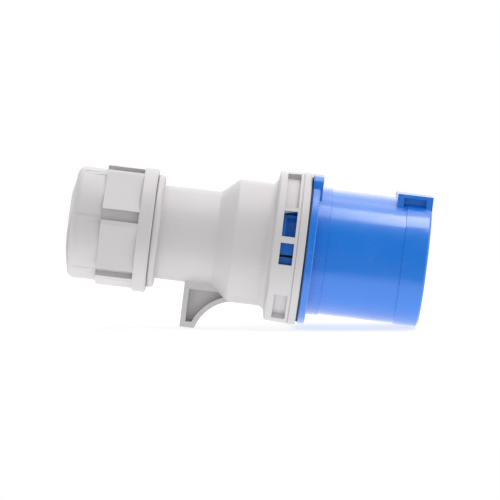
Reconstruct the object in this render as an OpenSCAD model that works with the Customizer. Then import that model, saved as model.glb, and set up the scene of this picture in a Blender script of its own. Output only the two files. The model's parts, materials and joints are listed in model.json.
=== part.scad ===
// Industrial pin and sleeve plug, 16 A, 2P+E, 230 V, key at 6 h.
// Every piece is drawn on the plug's own axis: X runs from the gland nut's rear face
// to the shroud's mouth, the key is up and the finger hook is down. seated() then tips
// the whole plug so that it rests on its finger hook and on the rim of the shroud.

/* [Gland nut] */
// Length of the gland nut
nut_len = 28.3; // [26:0.1:30]
// Radius of the plain band at the rear of the nut
nut_band_r = 19.3; // [18.8:0.1:19.5]
// Axial end of the plain band
nut_band_end = 10.8; // [9:0.1:12]
// Axial end of the six-sided grip
nut_grip_end = 23.5; // [22:0.1:24.5]
// Distance across the flats of the grip, halved
nut_flat_r = 19.75; // [19.6:0.05:20]
// Radius over the corners of the grip
nut_corner_r = 21.3; // [21:0.1:21.4]
// Radius of the flange ring at the front of the nut
nut_flange_r = 21.45; // [21.4:0.05:22]
// Width of the grooves along the grip's corners
nut_groove_w = 4.8; // [4:0.1:5.5]
// Radius at the bottom of the grooves
nut_groove_r = 19.0; // [18.8:0.1:19.2]
// Angle of one of the grip's corners, up from the side
grip_angle = 11; // [0:1:59]
// Radius of the cable entry
entry_r = 9.4; // [8:0.1:10]

/* [Housing] */
// Largest radius of the collar in front of the nut
collar_r = 21; // [20:0.1:21.4]
// Axial end of the collar
collar_end = 30.6; // [30:0.1:31.5]
// Outside radius of the neck
neck_r = 16.15; // [15.5:0.05:17]
// Axial end of the neck, where the cone starts
neck_end = 51.1; // [49:0.1:53]
// Outside radius of the body
body_r = 21.3; // [20.8:0.1:21.6]
// Axial end of the cone, where the body starts
cone_end = 56.4; // [55:0.1:58]
// Wall thickness of the housing
wall = 2.5; // [2:0.1:2.8]
// Rear and front face of the front ring
ring_x = [70.1, 81.0];
// Outside radius of the front ring
ring_r = 26.4; // [26:0.1:27]
// Inside radius of the front ring
ring_bore_r = 23.0; // [22.9:0.05:23.2]

/* [Ring windows] */
// Axial reach of the windows and pockets
window_x = [72.6, 77.6];
// Start and end angle of the windows that go through, up from the side
windows = [[10.3, 31.4], [-11.2, 6.1]];
// Start and end angle of the closed pockets, up from the side
pockets = [[34.2, 79.5], [-68, -36.5]];
// Depth of the closed pockets
pocket_depth = 2.2; // [1:0.1:2.6]

/* [Finger hook] */
// Width of the hook
hook_w = 9; // [8:0.1:11]
// Distance of the hook's tip from the plug's axis
hook_r = 31.5; // [29:0.1:33]
// Rear face of the hook
hook_x = 41.6; // [40:0.1:43]
// Length of the hook's tip
hook_tip = 5; // [4:0.1:6]
// Radius of the finger rest
hook_arc_r = 11.8; // [10:0.1:14]
// Thickness of the hook's rear plate and of its curved plate
hook_plate = 1.8; // [1.4:0.1:2.4]
// Thickness of the web between the hook's two recesses
hook_web = 1.6; // [1.2:0.1:3]

/* [Shroud] */
// Outside radius of the shroud's tube
tube_r = 21.75; // [21.6:0.05:21.9]
// Outside radius of the bands at both ends of the tube
band_r = 22.2; // [22:0.05:22.4]
// Inside radius of the shroud
mouth_bore_r = 19.5; // [19.3:0.1:19.7]
// Axial place of the mouth
mouth_x = 123.1; // [122:0.1:124]
// Rear and front face of the flange
flange_x = [81.6, 84.2];
// Radius of the flange
flange_r = 25.75; // [25.5:0.05:25.9]
// Front end of the band behind the tube
base_band_end = 88.4; // [87:0.1:90]
// Start of the band at the mouth
end_band_start = 114.6; // [113:0.1:116]
// Height of the key's top above the axis
key_top = 23.5; // [23.2:0.1:25]
// Width of the key
key_w = 22; // [16:0.5:23]
// Rear end of the key
key_x = 110.9; // [109:0.1:112]
// Depth of the key's side recesses
key_recess = 2; // [1:0.1:3]
// Height of the locking lug above the axis
lug_top = 26.1; // [26:0.05:27]
// Width of the locking lug
lug_w = 27; // [14:0.5:28]
// Corner radius of the locking lug
lug_corner = 3.4; // [1:0.1:4]

/* [Contacts] */
// Radius of the circle through the contact pins
pin_circle_r = 10.5; // [10:0.1:11]
// Diameter of the line and neutral pins
pin_d = 5; // [4.9:0.01:5.1]
// Diameter of the earth pin
earth_d = 6; // [5.9:0.01:6.1]
// Axial place of the tips of the line and neutral pins
pin_tip = 119.6; // [117:0.1:121]
// Axial place of the tip of the earth pin
earth_tip = 121; // [118:0.1:122]
// Diameter of the wire holes in the terminals
wire_d = 4.2; // [3.5:0.1:4.4]

/* [Hidden] */
$fn = 96;
eps = 0.02;               // overlap of a cut past the face that it opens
fit = 0.1;                // running clearance between pieces that slide

// front insert and terminals
insert_x = [72.3, 83.0];  // body of the contact carrier, from its shoulder to the shroud's ledge
insert_face = 85.5;       // face that the pins stand on
insert_r = 20.1;          // radius of the carrier's body
hub_x = 60.2;             // rear end of the carrier's hub
hub_r = 17.6;             // radius of the hub
boss_r = 18.0;            // radius of the carrier's front boss
collar_pin_x = [73.1, 76];// collar of each pin, in its counterbore
collar_pin_r = 4.2;
pin_shoulder = 0.2;       // step between a pin's shank and its guided length in the carrier
tail_r = 2;               // pressed tail of each pin
tail_x = 68.5;
block_x = [60.4, 73.0];   // terminal blocks
block_w = 9.2;
block_r = [6.0, 15.4];    // their inner and outer side, from the axis
screw_r = 2;              // clamp screws
screw_x = 64.6;           // axial place of the clamp screws
screw_top = 17.2;         // outer end of the screw heads
plate_t = 0.8;            // wire clamp plates
retainer_x = [57.6, 60.1];
retainer_screw_r = 11.6;  // circle of the two retainer screws
PIN_ANGLES = [90, -30, 210];       // earth, line, neutral, up from the viewer's side

// spigot, gland and seal
spigot_x = 7.5;           // rear end of the threaded spigot
thread_root_r = 15.3;
nut_bore_r = 16.4;
neck_bore_r = 13.6;
body_bore_r = body_r - wall;
nut_wall = 2.2;           // rear wall of the nut
nut_edge = 3.2;           // radius of the nut's rear edge
washer_x = [2.3, 3.5];
seal_x = [3.6, 19.5];
seal_bore_r = 7.6;
cage_r = 13.5;            // outside of the cage in the neck's bore
cage_inner_r = 11.7;
cage_flange_r = 14.6;
FINGERS = 10;             // fingers of the clamping cage

// shroud
skirt_x = 72.3;
skirt_r = [20.2, 22.7];
tongue_span = [-5, 33];   // angles between the two slots that free a snap tongue
tongue_slot_w = 0.9;
barb_r = 24.4;
barb_span = [12.5, 29.5];
barb_x = [75.0, 77.5];
post_t = 2.2;             // end posts of the key's recesses
key_skin = 1.2;           // plate over the key's recesses
lug_front = flange_x[1] + 0.75;
mouth_round = 0.6;        // rounded rim of the mouth

// resting position: the tip of the hook and the rim of the mouth touch the floor
hook_front = hook_x + hook_tip;
rim_x = mouth_x - mouth_round;
rest_tilt = atan((hook_r - band_r) / (rim_x - hook_front));
x_max = mouth_x * cos(rest_tilt) + key_top * sin(rest_tilt);
x_min = -(nut_band_r - nut_edge) * sin(rest_tilt);
rest_x = (x_max + x_min) / 2;
rest_z = rim_x * sin(rest_tilt) + band_r * cos(rest_tilt);

// ---- helpers -------------------------------------------------------------

// places a piece drawn on the plug's axis as the plug rests on its hook and its rim
module seated() {
    translate([-rest_x, 0, rest_z]) rotate([0, rest_tilt, 0]) children();
}

// turns a profile of [radius, axial place] round the plug's axis
module turned() { rotate([0, 90, 0]) rotate_extrude() children(); }

// the same between two angles, counted up from the viewer's side
module turned_part(span) {
    rotate([0, 90, 0]) rotate([0, 0, -90 - span[1]])
        rotate_extrude(angle = span[1] - span[0]) children();
}

// a round bar along the axis
module bar(x, r) { translate([x[0], 0, 0]) rotate([0, 90, 0]) cylinder(r = r, h = x[1] - x[0]); }

// a ring along the axis
module ring(x, r) { turned() translate([r[0], x[0]]) square([r[1] - r[0], x[1] - x[0]]); }

// a box over a range of X, Y and Z
module block(x, y, z) {
    translate([x[0], y[0], z[0]]) cube([x[1] - x[0], y[1] - y[0], z[1] - z[0]]);
}

// turns what points up to the given angle, counted up from the viewer's side
module at_angle(a) { rotate([90 - a, 0, 0]) children(); }

// both a piece and its mirror image on the far side
module both_sides() { children(); mirror([0, 1, 0]) children(); }

// points of an arc from angle a0 to a1
function arc(c, r, a0, a1, n = 6) =
    [for (i = [0:n]) let (a = a0 + (a1 - a0) * i / n) [c[0] + r * cos(a), c[1] + r * sin(a)]];

// ---- gland ---------------------------------------------------------------

module nut_outline() {
    polygon(concat(
        [[entry_r, 1], [entry_r + 1, 0]],
        arc([nut_band_r - nut_edge, nut_edge], nut_edge, -90, 0),
        [[nut_band_r, nut_band_end + 1], [nut_bore_r, nut_band_end + 1], [nut_bore_r, 6.8],
         [15.4, 6.2], [13.6, nut_wall], [entry_r, nut_wall]]));
}

module gland_nut() {
    color([0.87, 0.86, 0.86]) difference() {
        union() {
            turned() nut_outline();
            intersection() {
                translate([nut_band_end, 0, 0]) rotate([0, 90, 0]) rotate([0, 0, 30 - grip_angle])
                    cylinder(r = nut_flat_r / cos(30), h = nut_grip_end - nut_band_end + 1, $fn = 6);
                bar([nut_band_end, nut_grip_end + 1], nut_corner_r);
            }
            turned() polygon([[nut_bore_r - 2, nut_grip_end], [nut_flange_r - 0.3, nut_grip_end],
                              [nut_flange_r, nut_grip_end + 0.3], [nut_flange_r, nut_len - 0.5],
                              [nut_flange_r - 0.5, nut_len], [nut_bore_r - 2, nut_len]]);
        }
        bar([6.8, nut_len + eps], nut_bore_r);
        for (k = [0:5]) rotate([60 * k - grip_angle, 0, 0]) rotate([90, 0, 0])
            block([nut_band_end - 0.1, nut_grip_end], [-nut_groove_w / 2, nut_groove_w / 2],
                  [nut_groove_r, nut_corner_r + 1]);
        for (k = [0:5]) rotate([60 * k - grip_angle, 0, 0]) rotate([90, 0, 0])
            block([1.6, nut_band_end + 0.5], [-0.35, 0.35], [nut_band_r - 0.2, nut_band_r + 1]);
    }
}

module thrust_washer() {
    color([0.93, 0.92, 0.88]) ring(washer_x, [9.8, 13.3]);
}

module gland_seal() {
    color([0.16, 0.16, 0.17]) turned() polygon([
        [seal_bore_r + 1.2, seal_x[0]], [10.6, seal_x[0]], [11.6, 7], [11.6, seal_x[1]],
        [seal_bore_r + 1.5, seal_x[1]], [seal_bore_r, seal_x[1] - 2], [seal_bore_r, seal_x[0] + 2]]);
}

module clamping_cage() {
    color([0.25, 0.26, 0.28]) difference() {
        turned() polygon([[11.7, 3.9], [12.6, 3.9], [cage_flange_r, 6.4], [cage_flange_r, spigot_x - fit],
                          [cage_r, spigot_x - fit], [cage_r, 21], [10, 21], [10, 19.6],
                          [cage_inner_r, 19.6]]);
        for (k = [0:FINGERS - 1]) rotate([360 / FINGERS * k, 0, 0])
            block([3, 15], [-0.6, 0.6], [9, cage_flange_r + 1]);
    }
}

// ---- rear housing --------------------------------------------------------

module housing_skin() {
    turned() polygon(concat(
        [[neck_bore_r, spigot_x], [14.5, spigot_x], [thread_root_r, 8.6],
         [thread_root_r, nut_len + 0.15], [collar_r - 0.4, nut_len + 0.15]],
        arc([collar_r - 2.0, nut_len + 0.55], 2.0, 0, 80, 5),
        [[neck_r + 0.6, collar_end], [neck_r, collar_end + 0.3],
         [neck_r + 0.15, neck_end - 0.6], [neck_r + 0.6, neck_end + 0.2],
         [body_r - 0.5, cone_end - 0.5], [body_r, cone_end + 0.4], [body_r, 67.4]],
        arc([body_r + 2.4, 67.4], 2.4, 180, 110, 5),
        [[25.5, ring_x[0]], [25.9, ring_x[0] + 0.4], [ring_r - 0.15, 78.1], [ring_r - 0.4, 78.2],
         [ring_r - 0.4, 78.4], [ring_r, 78.5], [ring_r + 0.05, ring_x[1] - 0.4],
         [ring_r - 0.35, ring_x[1]],
         [ring_bore_r, ring_x[1]], [ring_bore_r, skirt_x - 0.05],
         [body_bore_r, skirt_x - 0.05], [body_bore_r, cone_end + 1.2],
         [neck_bore_r, neck_end + 1.2]]));
}

module ring_openings() {
    both_sides() {
        for (w = windows) turned_part(w)
            translate([ring_bore_r - 1, window_x[0]])
                square([ring_r - ring_bore_r + 3, window_x[1] - window_x[0]]);
        for (p = pockets) turned_part(p)
            translate([ring_r - pocket_depth, window_x[0]])
                square([pocket_depth + 2, window_x[1] - window_x[0]]);
    }
}

// outline of the hook seen from the side: [axial place, distance below the axis]
function hook_centre() = [hook_front + hook_arc_r, hook_r + 1.4];
function hook_arc(r, a0, a1) = arc(hook_centre(), r, a0, a1, 10);

module hook_plan(inset) {
    c = hook_centre();
    polygon(concat(
        [[hook_x + inset, neck_bore_r + 1.5], [hook_x + inset, hook_r - inset * 1.1]],
        [[hook_front - inset * 0.75, hook_r - inset * 1.1]],
        hook_arc(hook_arc_r + inset * 0.8, 187, 268),
        [[c[0], neck_bore_r + 1.5]]));
}

module hook_pad() {
    polygon([[hook_x, 0], [hook_x, neck_r + 2], [neck_end - 1, neck_r + 2],
             [cone_end + 1, body_r + 2], [cone_end + 3, 0]]);
}

module hook_side(y) {
    translate([0, y[0], 0]) rotate([90, 0, 0]) mirror([0, 0, 1]) mirror([0, 1, 0])
        linear_extrude(y[1] - y[0]) children();
}

module finger_hook() {
    difference() {
        hook_side([-hook_w / 2, hook_w / 2]) hook_plan(0);
        both_sides() hook_side([-hook_w, -hook_web / 2]) difference() {
            hook_plan(hook_plate);
            hook_pad();
        }
        bar([hook_x - 1, cone_end + 3], neck_r - 1);
        turned() polygon([[0, neck_end], [neck_r - 1, neck_end], [body_r - 1, cone_end],
                          [body_r - 1, cone_end + 6], [0, cone_end + 6]]);
    }
}

module rear_housing() {
    color([0.87, 0.86, 0.86]) {
        difference() {
            union() {
                housing_skin();
                finger_hook();
            }
            ring_openings();
        }
    }
}

// ---- shroud --------------------------------------------------------------

module shroud_tube() {
    turned() polygon([
        [skirt_r[0], skirt_x], [skirt_r[1] - 0.4, skirt_x], [skirt_r[1], skirt_x + 0.8],
        [skirt_r[1], flange_x[0]], [flange_r - 0.3, flange_x[0]], [flange_r, flange_x[0] + 0.3],
        [flange_r, flange_x[1] - 0.3], [flange_r - 0.3, flange_x[1]], [band_r, flange_x[1]],
        [band_r, base_band_end], [tube_r, base_band_end + 0.15], [tube_r, end_band_start - 0.15],
        [band_r - 0.1, end_band_start], [band_r, rim_x], [band_r - mouth_round, mouth_x],
        [mouth_bore_r + 0.6, mouth_x], [mouth_bore_r, mouth_x - 0.8],
        [mouth_bore_r, insert_x[1] + 3], [boss_r + fit, insert_x[1] + 3],
        [boss_r + fit, insert_x[1]], [skirt_r[0], insert_x[1]]]);
}

module shroud_key() {
    difference() {
        block([key_x, mouth_x], [-key_w / 2, key_w / 2], [tube_r - 5, key_top]);
        both_sides() difference() {
            block([key_x + post_t, mouth_x - post_t], [-key_w, -key_w / 2 + key_recess],
                  [tube_r - 8, key_top - key_skin]);
            bar([key_x, mouth_x], band_r - 0.3);
        }
        bar([key_x - 1, mouth_x + 1], mouth_bore_r + 1);
    }
}

module locking_lug() {
    intersection() {
        hull_w = lug_w / 2 - lug_corner;
        union() {
            block([flange_x[0], lug_front], [-hull_w, hull_w], [15, lug_top]);
            block([flange_x[0], lug_front], [-lug_w / 2, lug_w / 2], [15, lug_top - lug_corner]);
            both_sides() translate([0, -hull_w, lug_top - lug_corner])
                bar([flange_x[0], lug_front], lug_corner);
        }
        difference() {
            bar([flange_x[0], lug_front], 30);
            bar([flange_x[0] - 1, lug_front + 1], tube_r);
        }
    }
}

module snap_barb() {
    turned_part(barb_span) polygon([[skirt_r[1] - 0.5, barb_x[0] - 1.2], [skirt_r[1] + 0.1, barb_x[0] - 1.2],
                                    [barb_r, barb_x[1] - 0.8], [barb_r, barb_x[1]],
                                    [skirt_r[1] - 0.5, barb_x[1]]]);
}

module shroud() {
    color([0.18, 0.45, 0.85]) difference() {
        union() {
            shroud_tube();
            shroud_key();
            locking_lug();
            both_sides() snap_barb();
        }
        both_sides() for (a = tongue_span) at_angle(a)
            block([skirt_x - 1, flange_x[0] - 1.2], [-tongue_slot_w / 2, tongue_slot_w / 2],
                  [skirt_r[0] - 1, barb_r + 1]);
    }
}

module shroud_gasket() {
    color([0.12, 0.12, 0.13]) ring([ring_x[1], flange_x[0]], [skirt_r[1] + 0.15, 25.1]);
}

// ---- insert and contacts ---------------------------------------------------

module contact_carrier() {
    color([0.2, 0.22, 0.26]) difference() {
        union() {
            bar([hub_x, insert_x[0] + 1], hub_r);
            bar(insert_x, insert_r);
            bar([insert_x[1] - 1, insert_face], boss_r);
        }
        for (a = PIN_ANGLES) at_angle(a) {
            block([hub_x - 1, block_x[1]], [-block_w / 2 - fit, block_w / 2 + fit],
                  [block_r[0] - fit, hub_r + 1]);
            translate([0, 0, pin_circle_r]) bar([block_x[1] - 1, collar_pin_x[1]], collar_pin_r + 0.05);
        }
        for (a = [PIN_ANGLES[1], PIN_ANGLES[2]]) at_angle(a) translate([0, 0, pin_circle_r])
            bar([insert_x[0], insert_face + 1], pin_d / 2 + pin_shoulder + 0.05);
        at_angle(PIN_ANGLES[0]) translate([0, 0, pin_circle_r])
            bar([insert_x[0], insert_face + 1], earth_d / 2 + pin_shoulder + 0.05);
        for (a = [30, 150]) at_angle(a) translate([0, 0, retainer_screw_r])
            bar([hub_x - 1, hub_x + 8], 1.2);
    }
}

module pin_retainer() {
    color([0.85, 0.85, 0.83]) difference() {
        bar(retainer_x, hub_r);
        for (a = PIN_ANGLES) at_angle(a) translate([0, 0, pin_circle_r])
            turned() polygon([[0, retainer_x[0] - 1], [3.9, retainer_x[0] - 1], [2.4, retainer_x[0] + 1.2],
                              [2.4, retainer_x[1] + 1], [0, retainer_x[1] + 1]]);
        for (a = [30, 150]) at_angle(a) translate([0, 0, retainer_screw_r])
            bar([retainer_x[0] - 1, retainer_x[1] + 1], 1.6);
        for (a = [30, -90, 150]) at_angle(a)
            block([retainer_x[0] - 1, retainer_x[1] + 1], [-1.5, 1.5], [hub_r - 1.5, hub_r + 1]);
    }
}

// a contact pin: pressed tail, collar and shank with a rounded, slotted tip
module contact_pin(angle, d, tip) {
    r = d / 2;
    color([0.80, 0.78, 0.74]) at_angle(angle) translate([0, 0, pin_circle_r]) turned() polygon(concat(
        [[0, tail_x], [tail_r - 0.3, tail_x], [tail_r, tail_x + 0.5], [tail_r, collar_pin_x[0]],
         [collar_pin_r, collar_pin_x[0]], [collar_pin_r, collar_pin_x[1]],
         [r + pin_shoulder, collar_pin_x[1]], [r + pin_shoulder, insert_face - 0.1],
         [r, insert_face + 0.1], [r, tip - r * 0.8]],
        arc([r * 0.2, tip - r * 0.8], r * 0.8, 0, 90, 5),
        [[0, tip]]));
}

module line_pin() { contact_pin(PIN_ANGLES[1], pin_d, pin_tip); }
module neutral_pin() { contact_pin(PIN_ANGLES[2], pin_d, pin_tip); }
module earth_pin() { contact_pin(PIN_ANGLES[0], earth_d, earth_tip); }

// a brass block pressed on the pin's tail, with a wire hole and a tapped clamp hole
module terminal_block(angle) {
    color([0.78, 0.66, 0.36]) at_angle(angle) difference() {
        block(block_x, [-block_w / 2, block_w / 2], block_r);
        translate([0, 0, pin_circle_r]) {
            bar([block_x[0] - 1, tail_x - 0.6], wire_d / 2);
            bar([tail_x - 1, block_x[1] + 1], tail_r + 0.02);
            block([screw_x - 2.4, screw_x + 2.4], [-wire_d / 2 + 0.1, wire_d / 2 - 0.1], [0, wire_d / 2 + 0.3]);
        }
        translate([screw_x, 0, pin_circle_r]) cylinder(r = screw_r, h = 10);
    }
}

module line_terminal() { terminal_block(PIN_ANGLES[1]); }
module neutral_terminal() { terminal_block(PIN_ANGLES[2]); }
module earth_terminal() { terminal_block(PIN_ANGLES[0]); }

// the small plate that the clamp screw presses on the wire
module wire_clamp(angle) {
    z = pin_circle_r + wire_d / 2 + 0.3;
    color([0.7, 0.7, 0.7]) at_angle(angle)
        block([screw_x - 2.3, screw_x + 2.3], [-wire_d / 2 + 0.2, wire_d / 2 - 0.2], [z - plate_t, z]);
}

module line_wire_clamp() { wire_clamp(PIN_ANGLES[1]); }
module neutral_wire_clamp() { wire_clamp(PIN_ANGLES[2]); }
module earth_wire_clamp() { wire_clamp(PIN_ANGLES[0]); }

// slotted clamp screws, one over each wire clamp
module terminal_screws() {
    foot = pin_circle_r + wire_d / 2 + 0.3;
    color([0.75, 0.74, 0.70]) for (a = PIN_ANGLES) at_angle(a) translate([screw_x, 0, 0]) difference() {
        union() {
            translate([0, 0, foot]) cylinder(r = screw_r, h = screw_top - foot - 1);
            translate([0, 0, block_r[1] + 0.3]) cylinder(r = 3, h = screw_top - block_r[1] - 0.3);
        }
        block([-4, 4], [-0.4, 0.4], [screw_top - 0.9, screw_top + 1]);
    }
}

// cross-recessed screws that hold the retainer on the hub
module retainer_screws() {
    color([0.72, 0.72, 0.72]) for (a = [30, 150]) at_angle(a) translate([0, 0, retainer_screw_r]) difference() {
        union() {
            bar([retainer_x[0] - 1.6, retainer_x[0]], 2.8);
            bar([retainer_x[0] - 0.5, hub_x + 7.5], 1.2);
        }
        block([retainer_x[0] - 2, retainer_x[0] - 0.8], [-1.6, 1.6], [-0.35, 0.35]);
        block([retainer_x[0] - 2, retainer_x[0] - 0.8], [-0.35, 0.35], [-1.6, 1.6]);
    }
}

// ---- the assembly ----------------------------------------------------------

seated() gland_nut();
seated() thrust_washer();
seated() clamping_cage();
seated() gland_seal();
seated() rear_housing();
seated() shroud_gasket();
seated() shroud();
seated() contact_carrier();
seated() pin_retainer();
seated() line_pin();
seated() neutral_pin();
seated() earth_pin();
seated() line_terminal();
seated() neutral_terminal();
seated() earth_terminal();
seated() line_wire_clamp();
seated() neutral_wire_clamp();
seated() earth_wire_clamp();
seated() terminal_screws();
seated() retainer_screws();
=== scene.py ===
"""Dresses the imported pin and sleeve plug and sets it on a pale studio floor."""

import json
import logging
import math
from collections.abc import Callable, Sequence
from dataclasses import dataclass, field
from enum import Enum

import bmesh
import bpy
from mathutils import Matrix, Vector

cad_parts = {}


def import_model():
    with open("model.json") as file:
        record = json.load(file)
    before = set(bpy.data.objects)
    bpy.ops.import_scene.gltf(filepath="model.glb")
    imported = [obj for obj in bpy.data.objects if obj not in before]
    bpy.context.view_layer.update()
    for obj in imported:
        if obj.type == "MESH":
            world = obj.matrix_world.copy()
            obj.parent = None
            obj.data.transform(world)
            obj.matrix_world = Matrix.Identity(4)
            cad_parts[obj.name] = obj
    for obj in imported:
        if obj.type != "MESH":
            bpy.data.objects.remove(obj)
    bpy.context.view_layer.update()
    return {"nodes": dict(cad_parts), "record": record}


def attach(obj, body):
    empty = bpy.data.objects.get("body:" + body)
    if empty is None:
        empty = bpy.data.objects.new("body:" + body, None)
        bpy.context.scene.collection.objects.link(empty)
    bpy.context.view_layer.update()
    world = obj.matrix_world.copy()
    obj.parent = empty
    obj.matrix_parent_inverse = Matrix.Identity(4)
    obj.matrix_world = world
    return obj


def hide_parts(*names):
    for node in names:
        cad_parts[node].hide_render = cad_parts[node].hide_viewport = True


LOG = logging.getLogger("plug")

MM = 0.001            # metres in a millimetre
MOUTH_PLACE = 123.1   # place of the shroud's mouth along the plug, in millimetres
THREAD_LEAD = 3.0     # advance of the gland thread in one turn, in millimetres
MERGE_GAP = 0.002     # corners nearer than this are one corner, in millimetres
FLAT_ANGLE = 0.6      # faces within this angle of each other are one face, in degrees
SHARP_EDGE = 28.0     # edges sharper than this are rounded, in degrees
CREASE = 35.0         # edges sharper than this stay creased in the shading, in degrees
ROOM = 2.5            # an edge shorter than this many roundings is too tight to round
WHITE = (1.0, 1.0, 1.0, 1.0)

Outline = Sequence[tuple[float, float]]
Span = tuple[float, float]
Triple = tuple[float, float, float]
Tone = tuple[float, float, float]


# ---------------------------------------------------------------- the plug's own axes


@dataclass(frozen=True)
class PlugAxes:
    """Axes that the plug is drawn on: x from cable end to mouth, z towards the key."""

    matrix: Matrix

    @classmethod
    def from_record(cls, record: dict, mouth_place: float) -> "PlugAxes":
        """Reads the plug's axis off the record's mount in the shroud's mouth.

        Args:
            record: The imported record.
            mouth_place: Place of the mouth along the plug, in millimetres.

        Returns:
            The axes, from the plug's millimetres to the row frame's metres.
        """
        mouth = next(m for m in record["mounts"] if m["name"] == "shroud_interface")
        ahead = Vector(mouth["axis"]).normalized()
        turn = Matrix.Rotation(-math.atan2(ahead.z, ahead.x), 4, "Y")
        origin = Vector(mouth["pos_m"]) - ahead * mouth_place * MM
        return cls(Matrix.Translation(origin) @ turn @ Matrix.Scale(MM, 4))


# ---------------------------------------------------------------- shaping


@dataclass(frozen=True)
class Arc:
    """A circular arc in a flat outline, with its angles in degrees.

    A point may lie off the arc by the slack, and beyond its ends by the reach, given as the lowest
    and highest share.
    """

    centre: Span
    radius: float
    start: float
    end: float
    slack: float = 0.06
    reach: Span = (-0.02, 1.5)

    def share(self, spot: Span) -> float | None:
        """Tells how far along the arc a point lies.

        Args:
            spot: The point in the outline's plane.

        Returns:
            0 at the start and 1 at the end, or None for a point off the arc.
        """
        if abs(math.dist(spot, self.centre) - self.radius) > self.slack:
            return None
        angle = math.degrees(math.atan2(spot[1] - self.centre[1], spot[0] - self.centre[0]))
        share = ((angle - self.start + 180.0) % 360.0 - 180.0) / (self.end - self.start)
        return share if self.reach[0] < share < self.reach[1] else None

    def at(self, share: float) -> Span:
        """Gives the point at a share of the arc."""
        angle = math.radians(self.start + share * (self.end - self.start))
        return (
            self.centre[0] + self.radius * math.cos(angle),
            self.centre[1] + self.radius * math.sin(angle),
        )


def turned_place(corner: Vector) -> tuple[float, float]:
    """Reads a point as a place round the plug's axis.

    Args:
        corner: The point in the plug's millimetres.

    Returns:
        Its radius, and its angle up from the viewer's side in degrees.
    """
    return math.hypot(corner.y, corner.z), math.degrees(math.atan2(corner.z, -corner.y))


def at_turn(place: float, radius: float, angle: float) -> Vector:
    """Gives the point at a place round the plug's axis.

    Args:
        place: Its place along the axis.
        radius: Its radius.
        angle: Its angle up from the viewer's side in degrees.

    Returns:
        The point in the plug's millimetres.
    """
    turn = math.radians(angle)
    return Vector((place, -radius * math.cos(turn), radius * math.sin(turn)))


class Form:
    """A mesh in the plug's millimetres, shaped by operators and then set in place."""

    def __init__(self) -> None:
        """Starts an empty mesh."""
        self.bm = bmesh.new()

    @classmethod
    def from_node(cls, node: bpy.types.Object, axes: PlugAxes) -> "Form":
        """Takes a merged copy of a CAD node's mesh.

        Args:
            node: The CAD node, which is left as it is.
            axes: The plug's axes.

        Returns:
            The copy, with its coplanar triangles joined.
        """
        form = cls()
        form.bm.from_mesh(node.data)
        form.bm.transform(axes.matrix.inverted())
        bmesh.ops.remove_doubles(form.bm, verts=form.bm.verts, dist=MERGE_GAP)
        bmesh.ops.dissolve_degenerate(form.bm, dist=MERGE_GAP, edges=form.bm.edges)
        bmesh.ops.dissolve_limit(
            form.bm, angle_limit=math.radians(FLAT_ANGLE),
            verts=form.bm.verts, edges=form.bm.edges,
        )
        return form

    def threaded(self, outline: Outline, lead: float, turns: float, steps: int = 60) -> "Form":
        """Winds a closed outline up the plug's axis as a right-handed ridge.

        Args:
            outline: Corners as (radius, place along the axis).
            lead: Advance of one turn in millimetres.
            turns: Number of turns.
            steps: Facets of one turn.

        Returns:
            This form, with both ends closed.
        """
        corners = [self.bm.verts.new((x, 0.0, r)) for r, x in outline]
        sides = [self.bm.edges.new(p) for p in zip(corners, corners[1:] + corners[:1])]
        bmesh.ops.spin(
            self.bm, geom=corners + sides, cent=(0, 0, 0), axis=(1, 0, 0),
            dvec=(lead / steps, 0, 0), angle=math.tau * turns, steps=round(steps * turns),
        )
        ends = [e for e in self.bm.edges if e.is_boundary]
        bmesh.ops.holes_fill(self.bm, edges=ends, sides=len(outline))
        bmesh.ops.recalc_face_normals(self.bm, faces=self.bm.faces)
        return self

    def refined(self, rule: Callable[[Vector], Vector]) -> "Form":
        """Moves each corner by a rule.

        Args:
            rule: Gives a corner's new place from its old one.

        Returns:
            This form.
        """
        for corner in self.bm.verts:
            corner.co = rule(corner.co.copy())
        self.bm.normal_update()
        return self

    def softened(self, width: float, segments: int = 2) -> "Form":
        """Rounds every sharp edge that has room for it.

        An edge is left as it is where it meets an edge too short for the rounding.

        Args:
            width: Width of the rounding in millimetres.
            segments: Facets across the rounding.

        Returns:
            This form.
        """
        limit = math.radians(SHARP_EDGE)
        sharp = [
            e for e in self.bm.edges
            if len(e.link_faces) == 2 and e.calc_face_angle(0.0) > limit
        ]
        tight = {
            v for e in self.bm.edges if e.calc_length() < ROOM * width for v in e.verts
        }
        roomy = [e for e in sharp if not tight.intersection(e.verts)]
        bmesh.ops.bevel(
            self.bm, geom=roomy, offset=width, offset_type="OFFSET", affect="EDGES",
            segments=segments, profile=0.5, clamp_overlap=True, material=-1,
        )
        return self

    def placed(self, name: str, axes: PlugAxes) -> bpy.types.Object:
        """Sets the form in the row frame as a finished object.

        Args:
            name: Name of the piece.
            axes: The plug's axes.

        Returns:
            The object, at the origin and with its place in its mesh.
        """
        self.bm.transform(axes.matrix)
        limit = math.radians(CREASE)
        for edge in self.bm.edges:
            edge.smooth = not edge.is_manifold or edge.calc_face_angle(0.0) < limit
        for face in self.bm.faces:
            face.smooth = True
        mesh = bpy.data.meshes.new(name)
        self.bm.to_mesh(mesh)
        self.bm.free()
        piece = bpy.data.objects.new(name, mesh)
        bpy.context.scene.collection.objects.link(piece)
        weighted = piece.modifiers.new("weighted_normals", "WEIGHTED_NORMAL")
        weighted.keep_sharp = True
        return piece


# ---------------------------------------------------------------- finishes


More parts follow.
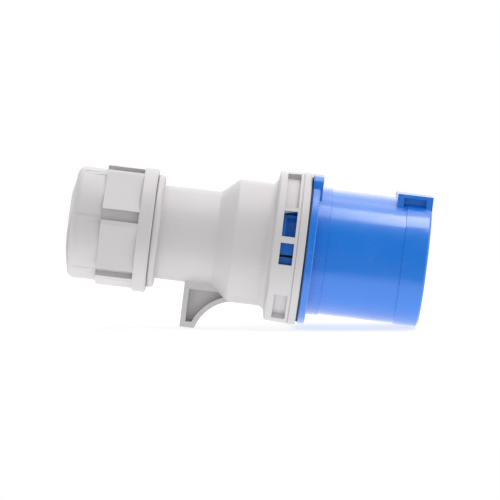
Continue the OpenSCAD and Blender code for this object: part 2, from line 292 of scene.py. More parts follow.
def ramp(tree: bpy.types.NodeTree, value: bpy.types.NodeSocket, lo: float, hi: float,
         out: Span = (0.0, 1.0)) -> bpy.types.NodeSocket:
    """Maps a value between two limits, clamped.

    Args:
        tree: Tree that gets the node.
        value: Socket to map.
        lo: Value that maps to the first output.
        hi: Value that maps to the second output.
        out: The two outputs.

    Returns:
        The mapped socket.
    """
    node = tree.nodes.new("ShaderNodeMapRange")
    tree.links.new(value, node.inputs["Value"])
    for key, number in zip(("From Min", "From Max", "To Min", "To Max"), (lo, hi, *out)):
        node.inputs[key].default_value = number
    return node.outputs["Result"]


def calc(tree: bpy.types.NodeTree, kind: str, *values: bpy.types.NodeSocket | float
         ) -> bpy.types.NodeSocket:
    """Adds a Math node.

    Args:
        tree: Tree that gets the node.
        kind: Blender's name of the operation.
        values: Its inputs, as sockets or numbers.

    Returns:
        The result's socket.
    """
    node = tree.nodes.new("ShaderNodeMath")
    node.operation = kind
    for socket, value in zip(node.inputs, values):
        if isinstance(value, bpy.types.NodeSocket):
            tree.links.new(value, socket)
        else:
            socket.default_value = value
    return node.outputs[0]


class Effect:
    """A shader node group with named sockets that several finishes share."""

    name = "effect"
    inputs: tuple[tuple[str, str, float | tuple], ...] = ()
    outputs: tuple[tuple[str, str], ...] = ()

    def group(self) -> bpy.types.NodeTree:
        """Gives the group, built once."""
        found = bpy.data.node_groups.get(self.name)
        if found:
            return found
        tree = bpy.data.node_groups.new(self.name, "ShaderNodeTree")
        for name, kind, value in self.inputs:
            socket = tree.interface.new_socket(name, in_out="INPUT", socket_type=kind)
            socket.default_value = value
        for name, kind in self.outputs:
            tree.interface.new_socket(name, in_out="OUTPUT", socket_type=kind)
        self.wire(tree, tree.nodes.new("NodeGroupInput"), tree.nodes.new("NodeGroupOutput"))
        return tree

    def wire(self, tree: bpy.types.NodeTree, given: bpy.types.Node, made: bpy.types.Node) -> None:
        """Builds the group's inside.

        Args:
            tree: The group.
            given: Its Group Input.
            made: Its Group Output.
        """
        raise NotImplementedError

    def use(self, tree: bpy.types.NodeTree, **values: float | tuple) -> bpy.types.Node:
        """Places the group in a material.

        Args:
            tree: The material's tree.
            values: Values of its inputs, by name with underscores for spaces.

        Returns:
            The group's node.
        """
        node = tree.nodes.new("ShaderNodeGroup")
        node.node_tree = self.group()
        for name, value in values.items():
            node.inputs[name.replace("_", " ")].default_value = value
        return node

    @staticmethod
    def noise(tree: bpy.types.NodeTree, place: bpy.types.NodeSocket,
              scale: bpy.types.NodeSocket | float, detail: float = 3.0,
              rough: float = 0.5) -> bpy.types.NodeSocket:
        """Adds a Noise Texture.

        Args:
            tree: Tree that gets the node.
            place: Coordinates.
            scale: Its scale, per metre.
            detail: Its octaves.
            rough: Weight of the fine octaves.

        Returns:
            The noise's value.
        """
        node = tree.nodes.new("ShaderNodeTexNoise")
        tree.links.new(place, node.inputs["Vector"])
        if isinstance(scale, bpy.types.NodeSocket):
            tree.links.new(scale, node.inputs["Scale"])
        else:
            node.inputs["Scale"].default_value = scale
        node.inputs["Detail"].default_value = detail
        node.inputs["Roughness"].default_value = rough
        return node.outputs["Fac"]

    @staticmethod
    def toned(tree: bpy.types.NodeTree, share: bpy.types.NodeSocket,
              first: bpy.types.NodeSocket, second: bpy.types.NodeSocket | Tone
              ) -> bpy.types.NodeSocket:
        """Mixes two colours.

        Args:
            tree: Tree that gets the node.
            share: Share of the second colour.
            first: The first colour.
            second: The second colour.

        Returns:
            The mixed colour.
        """
        node = tree.nodes.new("ShaderNodeMix")
        node.data_type = "RGBA"
        tree.links.new(share, node.inputs["Factor"])
        tree.links.new(first, node.inputs["A"])
        if isinstance(second, bpy.types.NodeSocket):
            tree.links.new(second, node.inputs["B"])
        else:
            node.inputs["B"].default_value = (*second, 1.0)
        return node.outputs["Result"]


class MouldedSkin(Effect):
    """Skin of a moulding: cloudy flow, a fine spark-eroded grain and an uneven gloss."""

    name = "moulded_skin"
    cloud_scale: float = 45.0
    patch_scale: float = 160.0
    contrast: Span = (0.3, 0.7)
    inputs = (
        ("Tone", "NodeSocketColor", (0.5, 0.5, 0.5, 1.0)),
        ("Flow Tone", "NodeSocketColor", (0.6, 0.6, 0.6, 1.0)),
        ("Flow", "NodeSocketFloat", 0.3),
        ("Grain Scale", "NodeSocketFloat", 2600.0),
        ("Grain", "NodeSocketFloat", 0.5),
        ("Dull", "NodeSocketFloat", 0.35),
        ("Dull Spread", "NodeSocketFloat", 0.06),
    )
    outputs = (
        ("Colour", "NodeSocketColor"), ("Roughness", "NodeSocketFloat"),
        ("Height", "NodeSocketFloat"),
    )

    def wire(self, tree: bpy.types.NodeTree, given: bpy.types.Node, made: bpy.types.Node) -> None:
        """Builds the skin from three scales of noise; see Effect.wire."""
        place = tree.nodes.new("ShaderNodeTexCoord").outputs["Object"]
        cloud = ramp(tree, self.noise(tree, place, self.cloud_scale, 2.0), *self.contrast)
        flow = calc(tree, "MULTIPLY", cloud, given.outputs["Flow"])
        tree.links.new(
            self.toned(tree, flow, given.outputs["Tone"], given.outputs["Flow Tone"]),
            made.inputs["Colour"],
        )
        grain = self.noise(tree, place, given.outputs["Grain Scale"], 2.0, 0.6)
        patch = ramp(
            tree, self.noise(tree, place, self.patch_scale, 3.0), *self.contrast, (-1.0, 1.0)
        )
        spread = calc(tree, "MULTIPLY", patch, given.outputs["Dull Spread"])
        tree.links.new(calc(tree, "ADD", spread, given.outputs["Dull"]), made.inputs["Roughness"])
        tree.links.new(
            calc(tree, "MULTIPLY", grain, given.outputs["Grain"]), made.inputs["Height"]
        )


class HandlingMarks(Effect):
    """Hairline scratches and light scuffs from use, as a mask."""

    name = "handling_marks"
    strokes: tuple[tuple[Triple, Triple], ...] = (
        ((0.4, 0.2, 0.9), (60.0, 1900.0, 900.0)),
        ((1.3, 0.7, -0.5), (1700.0, 70.0, 1100.0)),
    )
    hair_band: Span = (0.66, 0.74)
    patch_scale: float = 70.0
    patch_band: Span = (0.52, 0.7)
    inputs = (("Amount", "NodeSocketFloat", 0.5), ("Scale", "NodeSocketFloat", 1.0))
    outputs = (("Mask", "NodeSocketFloat"),)

    def wire(self, tree: bpy.types.NodeTree, given: bpy.types.Node, made: bpy.types.Node) -> None:
        """Crosses two sets of stretched noise with a patchy mask; see Effect.wire."""
        place = tree.nodes.new("ShaderNodeTexCoord").outputs["Object"]
        lines = None
        for turn, stretch in self.strokes:
            mapping = tree.nodes.new("ShaderNodeMapping")
            mapping.inputs["Rotation"].default_value = turn
            mapping.inputs["Scale"].default_value = stretch
            tree.links.new(place, mapping.inputs["Vector"])
            hair = ramp(
                tree, self.noise(tree, mapping.outputs["Vector"], given.outputs["Scale"], 1.0),
                *self.hair_band,
            )
            lines = hair if lines is None else calc(tree, "MAXIMUM", lines, hair)
        patch = ramp(tree, self.noise(tree, place, self.patch_scale, 2.0), *self.patch_band)
        mask = calc(tree, "MULTIPLY", calc(tree, "MULTIPLY", lines, patch), given.outputs["Amount"])
        tree.links.new(mask, made.inputs["Mask"])


class LatheMarks(Effect):
    """Fine rings left by a lathe along the plug's length, with the tarnish between them."""

    name = "lathe_marks"
    squeeze: Triple = (1.0, 0.01, 0.01)
    stain_scale: float = 320.0
    stain_band: Span = (0.45, 0.75)
    stain_dull: float = 0.15
    inputs = (
        ("Tone", "NodeSocketColor", (0.8, 0.8, 0.8, 1.0)),
        ("Tarnish Tone", "NodeSocketColor", (0.5, 0.5, 0.5, 1.0)),
        ("Tarnish", "NodeSocketFloat", 0.4),
        ("Pitch", "NodeSocketFloat", 9000.0),
        ("Dull", "NodeSocketFloat", 0.25),
    )
    outputs = (
        ("Colour", "NodeSocketColor"), ("Roughness", "NodeSocketFloat"),
        ("Height", "NodeSocketFloat"),
    )

    def wire(self, tree: bpy.types.NodeTree, given: bpy.types.Node, made: bpy.types.Node) -> None:
        """Builds the rings from noise squeezed along the axis; see Effect.wire."""
        place = tree.nodes.new("ShaderNodeTexCoord").outputs["Object"]
        mapping = tree.nodes.new("ShaderNodeMapping")
        mapping.inputs["Scale"].default_value = self.squeeze
        tree.links.new(place, mapping.inputs["Vector"])
        rings = self.noise(tree, mapping.outputs["Vector"], given.outputs["Pitch"], 1.0)
        stain = ramp(tree, self.noise(tree, place, self.stain_scale, 4.0), *self.stain_band)
        share = calc(tree, "MULTIPLY", stain, given.outputs["Tarnish"])
        tree.links.new(
            self.toned(tree, share, given.outputs["Tone"], given.outputs["Tarnish Tone"]),
            made.inputs["Colour"],
        )
        more = calc(tree, "MULTIPLY", stain, self.stain_dull)
        dull = calc(tree, "ADD", given.outputs["Dull"], more)
        tree.links.new(dull, made.inputs["Roughness"])
        tree.links.new(rings, made.inputs["Height"])


@dataclass(frozen=True)
class Finish:
    """What every finish has: a name, and a Principled shader that its pattern feeds."""

    name: str

    def material(self) -> bpy.types.Material:
        """Gives the finish's material, built once."""
        found = bpy.data.materials.get(self.name)
        if found:
            return found
        material = bpy.data.materials.new(self.name)
        material.use_nodes = True
        self.build(material.node_tree, material.node_tree.nodes["Principled BSDF"])
        return material

    def build(self, tree: bpy.types.NodeTree, shader: bpy.types.Node) -> None:
        """Wires the pattern into the shader.

        Args:
            tree: The material's tree.
            shader: Its Principled BSDF.
        """
        raise NotImplementedError

    def raise_grain(self, tree: bpy.types.NodeTree, height: bpy.types.NodeSocket,
                    shader: bpy.types.Node, depth: float) -> None:
        """Feeds a height to the shader's normal.

        Args:
            tree: The material's tree.
            height: The height's socket.
            shader: The shader.
            depth: Depth of the relief in metres.
        """
        bump = tree.nodes.new("ShaderNodeBump")
        bump.inputs["Distance"].default_value = depth
        tree.links.new(height, bump.inputs["Height"])
        tree.links.new(bump.outputs["Normal"], shader.inputs["Normal"])

    def dress(self, piece: bpy.types.Object) -> bpy.types.Object:
        """Puts the finish on a piece and returns the piece."""
        slots = piece.data.materials
        if slots:
            for index in range(len(slots)):
                slots[index] = self.material()
        else:
            slots.append(self.material())
        return piece


@dataclass(frozen=True)
class Moulding(Finish):
    """A moulded plastic, from glossy polyamide to satin.

    Marks of use fade the tone and lift it by the mark values, and light passes into the plastic
    by the share called through, over a reach in metres.
    """

    tone: Tone
    flow_tone: Tone
    dull: float = 0.3
    dull_spread: float = 0.05
    flow: float = 0.35
    grain: float = 0.6
    grain_scale: float = 2600.0
    grain_depth: float = 0.00003
    coat: float = 0.0
    coat_dull: float = 0.1
    marks: float = 0.25
    mark_fade: float = 0.7
    mark_lift: float = 0.25
    mark_dull: float = 0.25
    through: float = 0.0
    through_reach: Triple = (0.0012, 0.001, 0.0009)
    refraction: float = 1.53

    def build(self, tree: bpy.types.NodeTree, shader: bpy.types.Node) -> None:
        """Wires the moulded skin and the marks of use; see Finish.build."""
        skin = MouldedSkin().use(
            tree, Tone=(*self.tone, 1.0), Flow_Tone=(*self.flow_tone, 1.0), Flow=self.flow,
            Grain_Scale=self.grain_scale, Grain=self.grain, Dull=self.dull,
            Dull_Spread=self.dull_spread,
        )
        marks = HandlingMarks().use(tree, Amount=self.marks)
        pale = tuple(min(1.0, c * self.mark_fade + self.mark_lift) for c in self.tone)
        tree.links.new(
            Effect.toned(tree, marks.outputs["Mask"], skin.outputs["Colour"], pale),
            shader.inputs["Base Color"],
        )
        tree.links.new(
            calc(tree, "ADD", skin.outputs["Roughness"],
                 calc(tree, "MULTIPLY", marks.outputs["Mask"], self.mark_dull)),
            shader.inputs["Roughness"],
        )
        self.raise_grain(tree, skin.outputs["Height"], shader, self.grain_depth)
        shader.inputs["Coat Weight"].default_value = self.coat
        shader.inputs["Coat Roughness"].default_value = self.coat_dull
        shader.inputs["IOR"].default_value = self.refraction
        if self.through:
            shader.inputs["Subsurface Weight"].default_value = self.through
            shader.inputs["Subsurface Radius"].default_value = self.through_reach


@dataclass(frozen=True)
class TurnedMetal(Finish):
    """A turned or drawn metal with fine rings along the plug's length."""

    tone: Tone
    tarnish_tone: Tone
    tarnish: float = 0.35
    dull: float = 0.22
    marks: float = 0.5
    mark_scale: float = 1.6
    mark_dull: float = 0.2
    ring_depth: float = 0.000008

    def build(self, tree: bpy.types.NodeTree, shader: bpy.types.Node) -> None:
        """Wires the lathe marks and scratches; see Finish.build."""
        rings = LatheMarks().use(
            tree, Tone=(*self.tone, 1.0), Tarnish_Tone=(*self.tarnish_tone, 1.0),
            Tarnish=self.tarnish, Dull=self.dull,
        )
        marks = HandlingMarks().use(tree, Amount=self.marks, Scale=self.mark_scale)
        tree.links.new(rings.outputs["Colour"], shader.inputs["Base Color"])
        tree.links.new(
            calc(tree, "ADD", rings.outputs["Roughness"],
                 calc(tree, "MULTIPLY", marks.outputs["Mask"], self.mark_dull)),
            shader.inputs["Roughness"],
        )
        self.raise_grain(tree, rings.outputs["Height"], shader, self.ring_depth)
        shader.inputs["Metallic"].default_value = 1.0


class Slot(Enum):
    """The record's material slots."""

    GREY = "grey_moulding"
    WHITE = "white_acetal"
    DARK = "dark_moulding"
    RUBBER = "rubber"
    BLUE = "blue_moulding"
    INSERT = "insert_moulding"
    RETAINER = "retainer_moulding"
    PLATED = "nickel_brass"
    BRASS = "brass"
    STEEL = "steel"


class Body(Enum):
    """The record's bodies."""

    HOUSING = "housing"
    THRUST_RING = "thrust_ring"
    NUT = "nut"


FINISHES: dict[Slot, Finish] = {
    Slot.GREY: Moulding(
        "grey_polyamide", tone=(0.540, 0.528, 0.534), flow_tone=(0.560, 0.548, 0.552),
        dull=0.48, coat=0.06, coat_dull=0.2,
    ),
    Slot.WHITE: Moulding(
        "white_acetal", tone=(0.80, 0.79, 0.74), flow_tone=(0.86, 0.85, 0.81),
        dull=0.32, through=0.15, marks=0.1,
    ),
    Slot.DARK: Moulding(
        "dark_polyamide", tone=(0.035, 0.037, 0.042), flow_tone=(0.055, 0.056, 0.062),
        dull=0.42, marks=0.35,
    ),
    Slot.RUBBER: Moulding(
        "seal_rubber", tone=(0.036, 0.036, 0.040), flow_tone=(0.060, 0.060, 0.062),
        dull=0.68, dull_spread=0.1, grain=1.0, grain_scale=1500.0, marks=0.0,
    ),
    Slot.BLUE: Moulding(
        "blue_polyamide", tone=(0.010, 0.172, 0.660), flow_tone=(0.016, 0.188, 0.690),
        dull=0.24, coat=0.5, coat_dull=0.12, flow=0.2, marks=0.12,
    ),
    Slot.INSERT: Moulding(
        "insert_polyamide", tone=(0.085, 0.088, 0.098), flow_tone=(0.105, 0.108, 0.118),
        dull=0.38, marks=0.2,
    ),
    Slot.RETAINER: Moulding(
        "retainer_polyamide", tone=(0.62, 0.61, 0.57), flow_tone=(0.70, 0.69, 0.65),
        dull=0.38, marks=0.1,
    ),
    Slot.PLATED: TurnedMetal(
        "nickel_plate", tone=(0.78, 0.75, 0.69), tarnish_tone=(0.60, 0.55, 0.46), dull=0.34,
    ),
    Slot.BRASS: TurnedMetal(
        "drawn_brass", tone=(0.78, 0.57, 0.24), tarnish_tone=(0.42, 0.27, 0.10), tarnish=0.5,
        dull=0.28,
    ),
    Slot.STEEL: TurnedMetal(
        "zinc_plated_steel", tone=(0.62, 0.63, 0.65), tarnish_tone=(0.45, 0.44, 0.42), dull=0.3,
    ),
}


# ---------------------------------------------------------------- sub-assemblies


@dataclass
class SubAssembly:
    """Pieces that are made and dressed together."""

    axes: PlugAxes
    nodes: dict[str, bpy.types.Object]

    def stand_in(self, piece: bpy.types.Object, slot: Slot, body: Body, *nodes: str) -> None:
        """Dresses a piece, joins it to its body and lets it stand for its CAD nodes.

        Args:
            piece: The finished piece.
            slot: The material slot that it takes its finish from.
            body: The body that it rides on.
            nodes: CAD nodes that it replaces, if any.
        """
        FINISHES[slot].dress(piece)
        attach(piece, body.value)
        if nodes:
            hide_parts(*nodes)
        LOG.info("%s: %d faces", piece.name, len(piece.data.polygons))

    def rounded(self, node: str, name: str, width: float, slot: Slot,
                body: Body = Body.HOUSING, segments: int = 2,
                rule: Callable[[Vector], Vector] | None = None) -> None:
        """Makes a piece from a CAD node with its edges rounded.

        Args:
            node: The CAD node that it replaces.
            name: Name of the piece.
            width: Width of the rounding in millimetres.
            slot: The material slot.
            body: The body that it rides on.
            segments: Facets across the rounding.
            rule: Moves the node's corners before the rounding, if given.
        """
        form = Form.from_node(self.nodes[node], self.axes)
        if rule:
            form.refined(rule)
        form.softened(width, segments)
        self.stand_in(form.placed(name, self.axes), slot, body, node)

    def wind(self, name: str, outline: Outline, turns: float, body: Body) -> None:
        """Makes a grey ridge of the gland's thread.

        Args:
            name: Name of the piece.
            outline: The ridge's corners as (radius, place along the axis).
            turns: Number of turns.
            body: The body that it rides on.
        """
        form = Form().threaded(outline, THREAD_LEAD, turns)
        self.stand_in(form.placed(name, self.axes), Slot.GREY, body)


@dataclass
class CableGland(SubAssembly):
    """The lobed nut, the thrust washer, the clamping cage and the rubber seal.

    The nut's grooves run along the corners of its grip, whose first corner is at the grip angle.
    Groove walls are places across the groove, before and after. The rear face is what lies within
    the dome's radius and before its end.
    """

    edge: float = 0.35
    washer_edge: float = 0.2
    cage_edge: float = 0.12
    seal_edge: float = 0.4
    rear_arc: Arc = Arc((16.1, 3.2), 3.2, -90.0, 0.0)
    domed_arc: Arc = Arc((16.7, 3.2), 2.6, -77.0, 0.0)
    dome_r: float = 11.0
    dome_end: float = 1.1
    dome_rise: float = 0.6
    grip_angle: float = 11.0
    corner_pitch: float = 60.0
    grip_span: Span = (10.6, 23.6)
    groove: dict[float, float] = field(default_factory=lambda: {-2.4: -1.25, 2.4: 2.7})
    groove_slack: float = 0.06
    groove_floor: float = 18.9
    slot_reach: Span = (0.4, 11.4)
    slot_floor: Span = (19.15, 19.24)
    ridge: Outline = ((16.5, 14.9), (15.75, 15.3), (15.75, 15.8), (16.5, 16.2))
    turns: float = 3.6

    def moulded(self, corner: Vector) -> Vector:
        """Domes the nut's rear face, narrows its grooves and thins the lines on its band.

        Args:
            corner: A corner of the nut.

        Returns:
            Its new place.
        """
        radius, angle = turned_place(corner)
        share = self.rear_arc.share((radius, corner.x))
        if share is not None:
            radius, place = self.domed_arc.at(share)
            return at_turn(place, radius, angle)
        if radius < self.dome_r and corner.x < self.dome_end:
            return at_turn(corner.x - self.dome_rise, radius, angle)
        half = self.corner_pitch / 2
        off = (angle - self.grip_angle + half) % self.corner_pitch - half
        out = radius * math.cos(math.radians(off))
        across = radius * math.sin(math.radians(off))
        if abs(across) < self.slot_reach[0] and corner.x < self.slot_reach[1]:
            if self.groove_floor < radius < self.slot_floor[0]:
                return at_turn(corner.x, self.slot_floor[1], angle)
        if self.grip_span[0] < corner.x < self.grip_span[1] and radius > self.groove_floor:
            for wall, moved in self.groove.items():
                if abs(across - wall) < self.groove_slack:
                    turn = math.degrees(math.atan2(moved, out))
                    return at_turn(corner.x, math.hypot(out, moved), angle - off + turn)
        return corner

    def build(self) -> None:
        """Makes the gland's pieces."""
        self.rounded("gland_nut", "nut_moulding", self.edge, Slot.GREY, Body.NUT, 3,
                     rule=self.moulded)
        self.wind("nut_thread", self.ridge, self.turns, Body.NUT)
        self.rounded("thrust_washer", "thrust_washer_ring", self.washer_edge, Slot.WHITE,
                     Body.THRUST_RING)
        self.rounded("clamping_cage", "cage_fingers", self.cage_edge, Slot.DARK)
        self.rounded("gland_seal", "seal_sleeve", self.seal_edge, Slot.RUBBER, segments=3)


@dataclass
class RearHousing(SubAssembly):
    """The grey housing with its threaded spigot, finger hook and front ring.

    Window edges are angles up from the side in degrees, before and after. The hook's arcs and
    corners, before and after, are places along the axis and distances below it.
    """

    edge: float = 0.25
    collar_x: Span = (28.3, 31.0)
    collar_from: float = 17.0
    collar_share: float = 0.65
    window_x: Span = (72.4, 77.8)
    window_end: Span = (77.6, 77.2)
    end_slack: float = 0.03
    window_edges: dict[float, float] = field(
        default_factory=lambda: {31.4: 30.7, 10.3: 10.4, 6.1: 5.7, -11.2: -10.6}
    )
    angle_slack: float = 0.25
    ring_r: Span = (22.8, 26.6)
    window_r: float = 26.4
    hook_box: tuple[Span, Span, Span] = ((43.5, 59.0), (-4.7, 4.7), (-33.0, -17.9))
    rest_arcs: tuple[tuple[Arc, Arc], ...] = (
        (Arc((58.4, 32.9), 11.8, 187.0, 257.1), Arc((61.48, 35.9), 15.5, 196.88, 249.3)),
        (Arc((58.4, 32.9), 13.24, 187.0, 247.6), Arc((61.48, 35.9), 17.21, 202.12, 249.5)),
    )
    rest_corners: dict[Span, Span] = field(
        default_factory=lambda: {(45.25, 29.52): (45.4, 29.42), (50.1, 18.15): (53.4, 18.15)}
    )
    corner_slack: float = 0.15
    ridge: Outline = ((15.2, 9.3), (16.2, 9.75), (16.2, 10.3), (15.2, 10.75))
    turns: float = 5.0

    def hooked(self, corner: Vector) -> Vector:
        """Gives the finger hook a wider curve.

        Args:
            corner: A corner of the hook.

        Returns:
            Its new place.
        """
        spot = (corner.x, -corner.z)
        for drawn, moved in self.rest_arcs:
            share = drawn.share(spot)
            if share is not None:
                place, drop = moved.at(share)
                return Vector((place, corner.y, -drop))
        for drawn, moved in self.rest_corners.items():
            if math.dist(drawn, spot) < self.corner_slack:
                return Vector((moved[0], corner.y, -moved[1]))
        return corner

    def moulded(self, corner: Vector) -> Vector:
        """Narrows the collar, squares the windows and opens out the hook.

        Args:
            corner: A corner of the housing.

        Returns:
            Its new place.
        """
        radius, angle = turned_place(corner)
        if self.collar_x[0] < corner.x < self.collar_x[1] and radius > self.collar_from:
            over = (radius - self.collar_from) * self.collar_share
            return at_turn(corner.x, self.collar_from + over, angle)
        if all(lo < c < hi for c, (lo, hi) in zip(corner, self.hook_box)):
            return self.hooked(corner)
        on_ring = self.ring_r[0] < radius < self.ring_r[1]
        if on_ring and self.window_x[0] < corner.x < self.window_x[1]:
            if abs(corner.x - self.window_end[0]) < self.end_slack:
                corner.x = self.window_end[1]
            up = math.degrees(math.atan2(corner.z, abs(corner.y)))
            for drawn, moved in self.window_edges.items():
                if abs(up - drawn) < self.angle_slack:
                    corner.z = self.window_r * math.sin(math.radians(moved))
        return corner

    def build(self) -> None:
        """Makes the housing's pieces."""
        self.rounded("rear_housing", "housing_moulding", self.edge, Slot.GREY,
                     rule=self.moulded)
        self.wind("spigot_thread", self.ridge, self.turns, Body.HOUSING)


@dataclass
class FrontShroud(SubAssembly):
    """The blue shroud with its key and locking lug, and the gasket behind its flange.

    The wedges on the snap tongues lie within the barb spans: along the axis, up from the side in
    degrees, and in radius.
    """

    edge: float = 0.3
    gasket_edge: float = 0.15
    barb_x: Span = (73.5, 77.6)
    barb_up: Span = (12.0, 30.0)
    barb_r: Span = (22.75, 25.0)
    sunk_r: float = 20.7

    def moulded(self, corner: Vector) -> Vector:
        """Sinks the wedges on the snap tongues deep behind the housing's windows.

        Args:
            corner: A corner of the shroud.

        Returns:
            Its new place.
        """
        radius, angle = turned_place(corner)
        up = math.degrees(math.atan2(corner.z, abs(corner.y)))
        spans = ((self.barb_x, corner.x), (self.barb_up, up), (self.barb_r, radius))
        if all(lo < value < hi for (lo, hi), value in spans):
            return at_turn(corner.x, self.sunk_r, angle)
        return corner

    def build(self) -> None:
        """Makes the shroud's pieces."""
        self.rounded("shroud", "shroud_moulding", self.edge, Slot.BLUE, segments=3,
                     rule=self.moulded)
        self.rounded("shroud_gasket", "gasket_ring", self.gasket_edge, Slot.RUBBER)


@dataclass
class ContactInsert(SubAssembly):
    """The contact carrier with its pins, terminals, clamps, screws and retainer."""

    carrier_edge: float = 0.2
    edge: float = 0.15
    steel_edge: float = 0.1

    def build(self) -> None:
        """Makes the insert's pieces."""
        self.rounded("contact_carrier", "carrier_moulding", self.carrier_edge, Slot.INSERT)
        self.rounded("pin_retainer", "retainer_disc", self.edge, Slot.RETAINER)
        for pole in ("line", "neutral", "earth"):
            self.rounded(f"{pole}_pin", f"{pole}_contact_pin", self.edge, Slot.PLATED)
            self.rounded(f"{pole}_terminal", f"{pole}_terminal_block", self.edge, Slot.BRASS)
            self.rounded(f"{pole}_wire_clamp", f"{pole}_clamp_plate", self.steel_edge, Slot.STEEL)
        self.rounded("terminal_screws", "clamp_screws", self.steel_edge, Slot.STEEL)
        self.rounded("retainer_screws", "retainer_fixings", self.steel_edge, Slot.STEEL)


# ---------------------------------------------------------------- studio


@dataclass(frozen=True)
class Lamp:
    """One soft rectangular lamp that faces the plug."""

    name: str
    place: Triple
    size: Span
    power: float
    tint: Tone = (1.0, 1.0, 1.0)

    def hang(self, target: Vector) -> None:
        """Hangs the lamp with its width along X.

        Args:
            target: Point that it faces.
        """
        light = bpy.data.lights.new(self.name, "AREA")
        light.shape = "RECTANGLE"
        light.size, light.size_y = self.size
        light.energy = self.power
        light.color = self.tint
        hung = bpy.data.objects.new(self.name, light)
        hung.location = self.place
        back = (Vector(self.place) - target).normalized()
        side = (Vector((1.0, 0.0, 0.0)) - back * back.x).normalized()
        hung.rotation_euler = Matrix((side, back.cross(side), back)).transposed().to_euler()
        bpy.context.scene.collection.objects.link(hung)


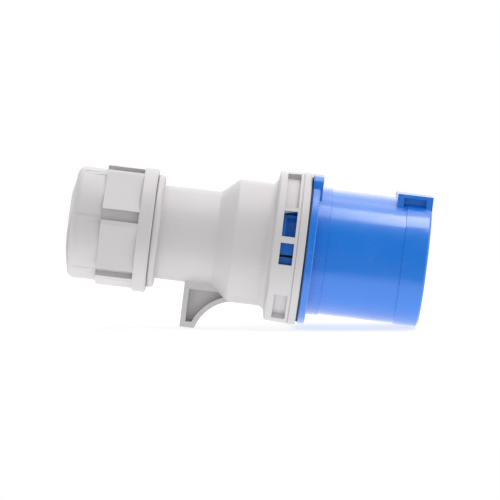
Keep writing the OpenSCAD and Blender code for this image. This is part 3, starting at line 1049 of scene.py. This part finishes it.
@dataclass(frozen=True)
class Studio:
    """A pale lit table, soft lamps and the camera at the viewing angle.

    The table's spans are metres from the plug's middle, negative towards the camera, apart from
    its reach, which is a distance. The dark side's span is the direction's share towards Y.
    """

    target: Vector = Vector((0.00035, 0.0, 0.0268))
    elevation: float = 3.0
    distance: float = 1.35
    field_width: float = 0.17325
    sensor: float = 36.0
    floor_size: float = 6.0
    floor_tone: float = 0.42
    floor_dull: float = 0.9
    table_glow: float = 0.68
    table_fill: Span = (0.08, 0.34)
    table_fill_from: Span = (-0.14, -0.04)
    # painted reflection: how bright the table glows in the plug's reflections under it, and how
    # that glow fades beyond
    painted_reflection_level: float = 1.35
    painted_reflection_fade_over: Span = (0.0, 0.12)
    painted_reflection_fade: Span = (1.0, 0.6)
    table_reach: Span = (0.16, 0.45)
    # over this span the table's painted reflection turns from dark in front of the plug to its
    # brightest
    table_front: Span = (-0.060, -0.036)
    world_level: float = 0.72
    front_level: float = 0.62
    dark_side: float = 0.03
    dark_from: Span = (-0.25, -0.75)
    lamps: tuple[Lamp, ...] = (
        Lamp("overhead_softbox", (0.355, -0.17, 1.0), (0.34, 0.46), 4.0, (1.0, 0.96, 0.97)),
        Lamp("top_softbox", (0.10, 0.26, 1.15), (1.2, 0.75), 2.8, (1.0, 0.955, 0.965)),
        Lamp("rear_softbox", (0.10, 0.93, 0.86), (1.4, 1.39), 4.0, (1.0, 0.955, 0.965)),
    )

    def light_world(self) -> None:
        """Makes the world: white when seen, dimmer as light, and dark behind the camera's side."""
        world = bpy.data.worlds.new("studio_world")
        world.use_nodes = True
        tree = world.node_tree
        rays = tree.nodes.new("ShaderNodeLightPath").outputs
        parts = tree.nodes.new("ShaderNodeSeparateXYZ")
        tree.links.new(
            tree.nodes.new("ShaderNodeTexCoord").outputs["Generated"], parts.inputs["Vector"]
        )
        front = ramp(tree, parts.outputs["Y"], *self.dark_from, (1.0, self.dark_side))
        low = ramp(tree, parts.outputs["Y"], *self.dark_from, (self.world_level, self.front_level))
        plain = calc(tree, "MAXIMUM", rays["Is Camera Ray"], rays["Is Transmission Ray"])
        mirrored = calc(tree, "MULTIPLY", rays["Is Glossy Ray"], front)
        dim = calc(tree, "MULTIPLY", rays["Is Diffuse Ray"], low)
        level = calc(tree, "MAXIMUM", calc(tree, "MAXIMUM", plain, mirrored), dim)
        tree.nodes["Background"].inputs["Color"].default_value = WHITE
        tree.links.new(level, tree.nodes["Background"].inputs["Strength"])
        bpy.context.scene.world = world

    def floor_material(self) -> bpy.types.Material:
        """Makes the table's material.

        The camera sees a lit table round the plug, which fades to white further out. Reflections in
        the plug see a painted reflection:
        the table glows for glossy rays only, painted dark in front of the plug, brightest under it
        and dimmer beyond.

        Returns:
            The material.
        """
        material = bpy.data.materials.new("studio_floor")
        material.use_nodes = True
        tree = material.node_tree
        shader = tree.nodes["Principled BSDF"]
        shader.inputs["Base Color"].default_value = (*[self.floor_tone] * 3, 1.0)
        shader.inputs["Roughness"].default_value = self.floor_dull
        shader.inputs["Specular IOR Level"].default_value = 0.0
        shader.inputs["Emission Color"].default_value = WHITE
        white = tree.nodes.new("ShaderNodeEmission")
        rays = tree.nodes.new("ShaderNodeLightPath").outputs
        place = tree.nodes.new("ShaderNodeTexCoord").outputs["Object"]
        parts = tree.nodes.new("ShaderNodeSeparateXYZ")
        tree.links.new(place, parts.inputs["Vector"])
        below = ramp(tree, parts.outputs["Y"], *self.table_fill_from, self.table_fill)
        fill = calc(tree, "MULTIPLY", rays["Is Diffuse Ray"], below)
        tree.links.new(calc(tree, "ADD", fill, self.table_glow), shader.inputs["Emission Strength"])
        # painted reflection: glossy rays see the table glow dark in front of the plug, brightest
        # under it and dimmer beyond
        painted_reflection = calc(
            tree, "MULTIPLY",
            ramp(tree, parts.outputs["Y"], *self.table_front, (self.dark_side, self.painted_reflection_level)),
            ramp(tree, parts.outputs["Y"], *self.painted_reflection_fade_over, self.painted_reflection_fade),
        )
        bare = calc(tree, "SUBTRACT", 1.0, rays["Is Glossy Ray"])
        lit = calc(tree, "ADD", bare, calc(tree, "MULTIPLY", painted_reflection, rays["Is Glossy Ray"]))
        tree.links.new(lit, white.inputs["Strength"])
        length = tree.nodes.new("ShaderNodeVectorMath")
        length.operation = "LENGTH"
        tree.links.new(place, length.inputs[0])
        far = ramp(tree, length.outputs["Value"], *self.table_reach)
        seen = calc(tree, "MULTIPLY", far, rays["Is Camera Ray"])
        for ray in ("Is Glossy Ray", "Is Transmission Ray"):
            seen = calc(tree, "MAXIMUM", seen, rays[ray])
        mixed = tree.nodes.new("ShaderNodeMixShader")
        tree.links.new(seen, mixed.inputs["Fac"])
        tree.links.new(shader.outputs["BSDF"], mixed.inputs[1])
        tree.links.new(white.outputs["Emission"], mixed.inputs[2])
        tree.links.new(mixed.outputs["Shader"], tree.nodes["Material Output"].inputs["Surface"])
        return material

    def lay_floor(self) -> None:
        """Lays a pale table that fades to white beyond the plug's own shadow."""
        bm = bmesh.new()
        bmesh.ops.create_grid(bm, x_segments=1, y_segments=1, size=self.floor_size / 2)
        mesh = bpy.data.meshes.new("studio_floor")
        bm.to_mesh(mesh)
        bm.free()
        mesh.materials.append(self.floor_material())
        floor = bpy.data.objects.new("studio_floor", mesh)
        bpy.context.scene.collection.objects.link(floor)

    def set_camera(self) -> None:
        """Sets the camera a little above the plug's side, square to its length."""
        camera = bpy.data.cameras.new("camera")
        camera.sensor_width = self.sensor
        camera.lens = self.sensor * self.distance / self.field_width
        stand = bpy.data.objects.new("camera", camera)
        rise = math.radians(self.elevation)
        back = Vector((0.0, -math.cos(rise), math.sin(rise)))
        stand.location = self.target + back * self.distance
        stand.rotation_euler = (math.pi / 2 - rise, 0.0, 0.0)
        bpy.context.scene.collection.objects.link(stand)
        bpy.context.scene.camera = stand
        bpy.context.scene.view_settings.view_transform = "Standard"

    def build(self) -> None:
        """Makes the whole studio."""
        self.light_world()
        self.lay_floor()
        for lamp in self.lamps:
            lamp.hang(self.target)
        self.set_camera()


# ---------------------------------------------------------------- the whole


def main() -> None:
    """Loads the frame, dresses each sub-assembly and sets up the studio."""
    logging.basicConfig(level=logging.INFO, format="%(name)s: %(message)s")
    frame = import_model()
    axes = PlugAxes.from_record(frame["record"], MOUTH_PLACE)
    for kind in (CableGland, RearHousing, FrontShroud, ContactInsert):
        LOG.info("building %s", kind.__name__)
        kind(axes, frame["nodes"]).build()
    Studio().build()


if __name__ == "__main__":
    main()
